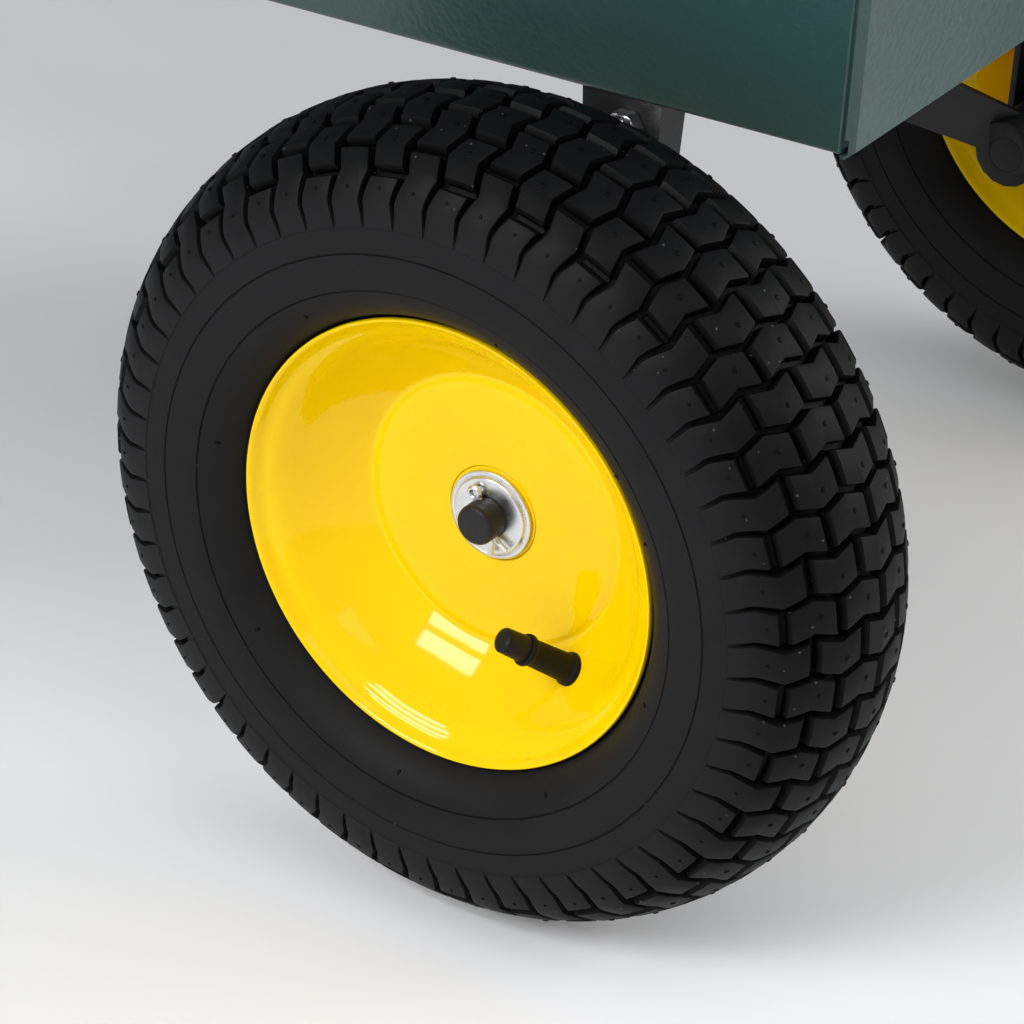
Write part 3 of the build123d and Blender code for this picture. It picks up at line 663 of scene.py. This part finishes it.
for name, side in (("left", -1), ("right", 1)):
    for title, node, lines in (
        ("pressed_rim", "rim", [rim_line]),
        ("dished_disc", "wheel_disc", [disc_line]),
        ("hub_tube", "wheel_hub", [hub_line, weld_line]),
    ):
        skins = [(turned(line, 144, side), True, True) for line in lines]
        stands_for = [f"{node}_{name}"]
        piece(f"{title}_{name}", skins, f"wheel_{name}", rim_paint, stands_for, crease=50)

# %% [markdown]
# ## The valve
# A snap-in rubber valve leans out of the dish towards the axle. It is a lathe profile again, but round
# its own leaning line, so the frame of that line is worked out first.

# %% Valve
def frame_along(along):
    """A direction at unit length and two more, square to it and to each other."""
    along = np.asarray(along, float) / np.linalg.norm(along)
    first = np.cross(along, (1.0, 0.0, 0.0) if abs(along[0]) < 0.9 else (0.0, 0.0, 1.0))
    first /= np.linalg.norm(first)
    return along, first, np.cross(along, first)


def lathe(profile, origin, along, count=32):
    """A profile of (distance, radius) turned round a line.

    A point is origin + distance along + radius (cos a first + sin a second).
    """
    profile = np.asarray(profile, float)
    along, first, second = frame_along(along)
    angle = np.linspace(0, 2 * np.pi, count, endpoint=False)[None, :, None]
    ring = np.cos(angle) * first + np.sin(angle) * second
    return np.asarray(origin, float) + profile[:, :1, None] * along + profile[:, 1:, None] * ring


valve_angle, valve_tilt = np.radians((-53, 46))
valve_seat_out, valve_seat_radius = 12.4, 63.85
stem_line = rounded(
    ((-5, 0), (-5, 6.6), (0.6, 6.6), (1.6, 5.6), (19.2, 5.2), (20.0, 6.3), (21.9, 6.3), (22, 0)),
    np.array((0, 0.8, 0.8, 1, 0.8, 0.8, 0.6, 0)), 4, closed=False,
)
cap_line = rounded(
    ((21.5, 0), (21.5, 5.2), (32.4, 4.9), (33.2, 3.4), (33.2, 0)),
    np.array((0, 0.5, 1.6, 0.8, 0)), 5, closed=False,
)
for name, side in (("left", -1), ("right", 1)):
    seat = on_wheel(valve_seat_out, valve_seat_radius, valve_angle, side)
    inward = on_wheel(valve_seat_out, valve_seat_radius - 1, valve_angle, side) - seat
    outward = np.array((0, side, 0))
    lean = outward * np.cos(valve_tilt) + inward * np.sin(valve_tilt)
    piece(
        f"rubber_valve_{name}", [(lathe(stem_line, seat, lean), False, True)],
        f"wheel_{name}", valve_rubber, [f"valve_stem_{name}"],
    )
    piece(
        f"screw_cap_{name}", [(lathe(cap_line, seat, lean), False, True)],
        f"wheel_{name}", black_plastic, [f"valve_cap_{name}"],
    )

# %% [markdown]
# ## Axle end, washer and split pin
# The wheel is kept on by a stepped zinc washer and a split pin: one wire folded back on itself, with an
# eye on one side of the axle and two legs bent apart on the other. The axle and the washer are lathe
# profiles. The wire is a ring carried along a line through a few knots, which bends as wire does.

# %% Axles and washers
stub_inner, stub_outer, stub_radius = 130.2, 274.5, 8.0
stub = rounded(
    (
        (stub_inner, 0), (stub_inner, stub_radius), (stub_outer - 1.3, stub_radius),
        (stub_outer, stub_radius - 1.1), (stub_outer, 0),
    ),
    np.array((0, 0.3, 0.8, 0.8, 0)), 4, closed=False,
)
piece(
    "axle_stubs", [(lathe(stub, (axle_x, 0, axle_z), (0, side, 0), 48), False, True) for side in (-1, 1)],
    "frame", frame_paint, ["stub_axles"],
)
washer = rounded(
    ((5.8, 8.1), (5.8, 17.8), (7.4, 18.0), (7.7, 16.6), (7.3, 16.0), (8.5, 15.3), (8.5, 8.1)),
    np.array((0.2, 0.3, 0.4, 0.3, 0.3, 0.4, 0.3)), 4,
)
piece(
    "stepped_washers", [(turned(washer, 72, side), True, True) for side in (-1, 1)],
    "frame", zinc, ["axle_washers"],
)


# %% Split pins
def tube(path, radius, count=10):
    """A round wire along a flat path, closed at both ends by a ring of no size.

    Each ring stands square to the path's own direction.
    """
    way = np.gradient(path, axis=0)
    way /= np.linalg.norm(way, axis=1, keepdims=True)
    flat = np.linalg.svd(path - path.mean(0), full_matrices=True)[2][2]
    across = np.cross(way, flat)[:, None]
    angle = np.linspace(0, 2 * np.pi, count, endpoint=False)[None, :, None]
    rings = path[:, None] + radius * (np.cos(angle) * across + np.sin(angle) * flat)
    ends = [np.broadcast_to(path[end], rings[:1].shape) for end in (0, -1)]
    return np.concatenate((ends[0], rings, ends[1]))


pin_knots = np.array(
    (
        (14.0, 3.9), (12.4, 3.0), (10.6, 2.0), (9.2, 1.3), (8.0, 1.15), (0.0, 1.15), (-8.0, 1.15),
        (-9.2, 1.6), (-10.4, 2.1), (-11.6, 1.9), (-12.4, 1.1), (-12.7, 0.0), (-12.4, -1.1),
        (-11.6, -1.9), (-10.4, -2.1), (-9.2, -1.6), (-8.0, -1.15), (0.0, -1.15), (8.0, -1.15),
        (9.2, -1.3), (10.6, -2.0), (12.4, -3.0), (14.0, -3.9),
    )
)
pin_line = smooth_line(pin_knots, 4)
pin_turn, pin_out, wire_radius = np.radians(-64), 10.7, 1.1
skins = []
for side in (-1, 1):
    along = np.array((-side * np.cos(pin_turn), 0, np.sin(pin_turn)))
    beside = np.array((side * np.sin(pin_turn), 0, np.cos(pin_turn)))
    centre = np.array((axle_x, side * (wheel_y + pin_out), axle_z))
    path = centre + pin_line[:, :1] * along + pin_line[:, 1:] * beside
    skins.append((tube(path, wire_radius), False, True))
piece("split_pins", skins, "frame", zinc, ["cotter_pins"])

# %% [markdown]
# ## The tray
# The pan is one sheet: floor, two leaning sides, a rim turned out and down. Its section is a line with
# rounded folds and a second line one sheet thickness inside it; both are carried along the cart between
# two leaning ends. Cutting a longer trough with two planes would also do, but here each line simply ends
# where its own height meets the leaning plane.

# %% Tray pan
floor_height, floor_half, tray_depth, sheet = 308.0, 188.0, 280.0, 2.0
side_slope, rear_slope, front_slope = 0.35, 0.26, 0.35
rear_reach, front_reach, end_inset = 104.0, 676.0, 4.2
half_top, rim_top = floor_half + side_slope * tray_depth, floor_height + tray_depth
rim_half, rim_drop, fold_radius = half_top + 16, 11, 4.5
right_half = (
    (floor_half, floor_height), (half_top, rim_top), (rim_half, rim_top), (rim_half, rim_top - rim_drop),
)
pan_line = rounded(mirrored(right_half) + right_half, fold_radius, 9, closed=False)
keep = np.concatenate(([True], np.linalg.norm(np.diff(pan_line, axis=0), axis=1) > 1e-6))
pan_line = pan_line[keep]
pan_way = np.gradient(pan_line, axis=0)
pan_way /= np.linalg.norm(pan_way, axis=1, keepdims=True)
inner_line = pan_line + sheet * np.stack((-pan_way[:, 1], pan_way[:, 0]), -1)


def end_x(direction, reach, slope, z, inset):
    """Where a leaning end plane, set in from the tray's end, stands at one height."""
    return axle_x + direction * (reach + slope * (z - floor_height) - inset * np.hypot(1, slope))


def pan_skin(line):
    """A section line carried from the rear end plane to the front one in straight steps."""
    y, z = line[:, :1], line[:, 1:]
    rear = end_x(1, rear_reach, rear_slope, z, end_inset)
    front = end_x(-1, front_reach, front_slope, z, end_inset)
    share = np.linspace(0, 1, 25)[None, :]
    return np.stack(np.broadcast_arrays(rear + (front - rear) * share, y, z), -1)


outer, inner = pan_skin(pan_line), pan_skin(inner_line)
pan_loop = np.concatenate((outer, inner[::-1]))
edges = [(np.stack((outer[:, end], inner[:, end])), False, False) for end in (0, -1)]
skins = [(pan_loop, True, False)] + edges
piece("folded_pan", skins, "tray", tray_paint, ["tray_pan"], crease=40)

# %% [markdown]
# ## Plates and tubes with softened edges
# Cut plate, square tube and pressed channel look right in CAD except for their knife edges. A copy of
# the CAD mesh has its loose triangles merged and flat neighbours joined, and a Bevel modifier rounds
# what is left, so light catches the edges as it does on painted steel.

# %% Softened copies
def softened(node, name, material, width, segments=2):
    """A merged copy of a CAD node whose edges are rounded by a width in millimetres."""
    mesh = frame["nodes"][node].data.copy()
    mesh.name = name
    mesh.materials.clear()
    mesh.materials.append(material)
    shell = bmesh.new()
    shell.from_mesh(mesh)
    bmesh.ops.remove_doubles(shell, verts=shell.verts, dist=2e-6)
    bmesh.ops.dissolve_limit(shell, angle_limit=np.radians(1), verts=shell.verts, edges=shell.edges)
    shell.to_mesh(mesh)
    shell.free()
    mesh.shade_smooth()
    thing = bpy.data.objects.new(name, mesh)
    scene.collection.objects.link(thing)
    bevel = thing.modifiers.new("rounded edges", "BEVEL")
    bevel.width = width / 1000
    bevel.segments = segments
    bevel.limit_method = "ANGLE"
    bevel.angle_limit = np.radians(25)
    bevel.harden_normals = True
    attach(thing, body_of_node[node])
    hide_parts(node)
    print(name, len(mesh.polygons), "faces before the bevel")
    return thing


tail_panel = softened("rear_panel", "tail_panel", tray_paint, 0.7, 3)
softened("front_panel", "nose_panel", tray_paint, 0.7, 3)
softened("tray_legs", "pressed_legs", frame_paint, 1.0, 3)
softened("tongue", "square_tongue", frame_paint, 0.8)
softened("tongue_caps", "tube_plugs", black_plastic, 0.8)
softened("axle_stays", "wishbone_stays", frame_paint, 0.7)
softened("hitch_plates", "drawbar_plates", frame_paint, 0.9)
softened("stand_bracket", "stand_ears", frame_paint, 0.7)
softened("stand_leg", "stand_tube", frame_paint, 0.9)
softened("stand_foot", "stand_shoe", frame_paint, 0.9)
softened("rest_saddle", "tray_saddle", frame_paint, 0.8)
softened("rest_pads", "saddle_pads", valve_rubber, 1.0)
softened("striker", "latch_striker", frame_paint, 0.7)
softened("latch_bracket", "latch_ears", frame_paint, 0.7)
softened("latch_hook", "swing_hook", zinc, 0.8)

# %% [markdown]
# Only the fold of the tail panel shows below the tray's side, so its flange under the floor is cut short.
# A new panel could be drawn, but pulling the copy's far corners back to a narrow lip keeps its folds.

# %% Tail panel's lip
corners = np.empty(3 * len(tail_panel.data.vertices), np.float32)
tail_panel.data.vertices.foreach_get("co", corners)
corners = corners.reshape(-1, 3)
lip = 5.0
lip_end = (axle_x + rear_reach - lip) / 1000
cut_off = (corners[:, 2] < floor_height / 1000) & (corners[:, 0] < lip_end)
corners[cut_off, 0] = lip_end
tail_panel.data.vertices.foreach_set("co", corners.ravel())
print(cut_off.sum(), "corners of the tail panel's flange moved")

# %% [markdown]
# ## The channel between the legs
# The cross channel is too shallow to show below the tray, except for its turned-down ends behind the
# legs. The CAD channel is deeper than the photograph allows, so five straight bars make a new one, each
# a rounded rectangle carried across the cart.

# %% Cross channel
def bar(x, y, z):
    """A rounded rectangle of x by z, carried along y and closed by a point at each end."""
    ring = rounded(((x[0], z[0]), (x[1], z[0]), (x[1], z[1]), (x[0], z[1])), 0.8, 4)
    middle = np.broadcast_to(ring.mean(0), ring.shape)
    lines = np.stack((middle, ring, ring, middle))
    place = np.broadcast_to(np.array((y[0], y[0], y[1], y[1]))[:, None], lines.shape[:2])
    return np.stack((lines[..., 0], place, lines[..., 1]), -1)


low, high = (np.array(corner) * 1000 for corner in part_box("bolster"))
flange, wall = 9.0, 3.0
bars = [((low[0], high[0]), (low[1], high[1]), (high[2] - wall, high[2]))]
for x in ((low[0], low[0] + wall), (high[0] - wall, high[0])):
    bars.append((x, (low[1] + wall / 2, high[1] - wall / 2), (high[2] - flange, high[2] - 1.2)))
for y in ((low[1], low[1] + wall), (high[1] - wall, high[1])):
    bars.append(((low[0], high[0]), y, (low[2], high[2] - 1)))
piece(
    "cross_channel", [(bar(*sizes), False, True) for sizes in bars],
    "tray", frame_paint, ["bolster"],
)

# %% [markdown]
# ## Bolts and nuts
# A carriage bolt is a dome, a nut is a hexagon whose corners are turned off, and the thread's end shows
# beyond it. The hexagon comes from one formula for its radius at an angle, so the same lathe grid that
# makes round things makes nuts.

# %% Fasteners
def nut(seat, along, across, height):
    """Radius across / cos(angle to the nearest flat), kept inside a cone at both ends."""
    along, first, second = frame_along(along)
    angle = np.linspace(0, 2 * np.pi, 72, endpoint=False)[None, :]
    flat = across / np.cos((angle + np.pi / 6) % (np.pi / 3) - np.pi / 6)
    rise = np.array((0, 0, 0.5, 1.5, height - 1.5, height - 0.5, height, height))[:, None]
    cone = across * 0.96 + 1.5 * np.minimum(rise, height - rise)
    radius = np.minimum(flat, cone)
    radius[[0, -1]] = 0
    ring = np.cos(angle)[..., None] * first + np.sin(angle)[..., None] * second
    return seat + rise[..., None] * along + radius[..., None] * ring


def carriage_bolt(seat, along, radius, grip):
    """Dome on the seat, nut at the far end of the grip, thread end beyond the nut."""
    seat, along = np.asarray(seat, float), np.asarray(along, float) / np.linalg.norm(along)
    arc = np.linspace(0, np.pi / 2, 9)
    dome = np.stack((0.8 * radius * np.cos(arc), 2.05 * radius * np.sin(arc)), -1)
    dome = np.concatenate((dome, ((-0.3, 2.05 * radius), (-0.3, 0))))
    stub_end = grip + 1.6 * radius + 2.4
    stub = np.array(
        ((0, 0), (0, radius), (stub_end - 0.8, radius), (stub_end, radius - 0.8), (stub_end, 0))
    )
    far = seat - grip * along
    return [
        (lathe(dome, seat, along, 36), False, True),
        (lathe(stub, seat, -along, 24), False, True),
        (nut(far, -along, across=1.65 * radius, height=1.6 * radius), False, True),
    ]


print("bolt and nut ready")

# %% [markdown]
# The panel bolts go through the leaning sides, so their places and directions come from the same slopes
# as the pan. Each leg has one bolt, and the stand and the hook turn on longer ones.

# %% Bolts in place
skins = []
bolt_inset = 15.0
for direction, reach, slope in ((1, rear_reach, rear_slope), (-1, front_reach, front_slope)):
    for share in (0.38, 0.82):
        z = floor_height + share * tray_depth
        x = axle_x + direction * (reach + slope * (z - floor_height) - bolt_inset)
        for side in (-1, 1):
            y = side * (floor_half + side_slope * (z - floor_height))
            skins += carriage_bolt((x, y, z), (0, side, -side_slope), radius=4.0, grip=4.2)
piece("panel_fasteners", skins, "tray", zinc, ["panel_bolts"])

skins = []
leg_bolt_x, leg_bolt_y, leg_bolt_z = axle_x + 8.25, 177.95, 296.0
for side in (-1, 1):
    seat = (leg_bolt_x, side * leg_bolt_y, leg_bolt_z)
    skins += carriage_bolt(seat, (0, -side, 0), radius=4.0, grip=6.05)
piece("leg_fasteners", skins, "tray", zinc, ["leg_bolts"])

stand_pivot, latch_pivot = (axle_x - 880, -20.3, 200), (axle_x - 775, -9.3, 312)
skins = carriage_bolt(stand_pivot, (0, -1, 0), radius=5.0, grip=40.6)
skins += carriage_bolt(latch_pivot, (0, -1, 0), radius=5.0, grip=18.6)
piece("pivot_fasteners", skins, "frame", zinc, ["pivot_bolts"])
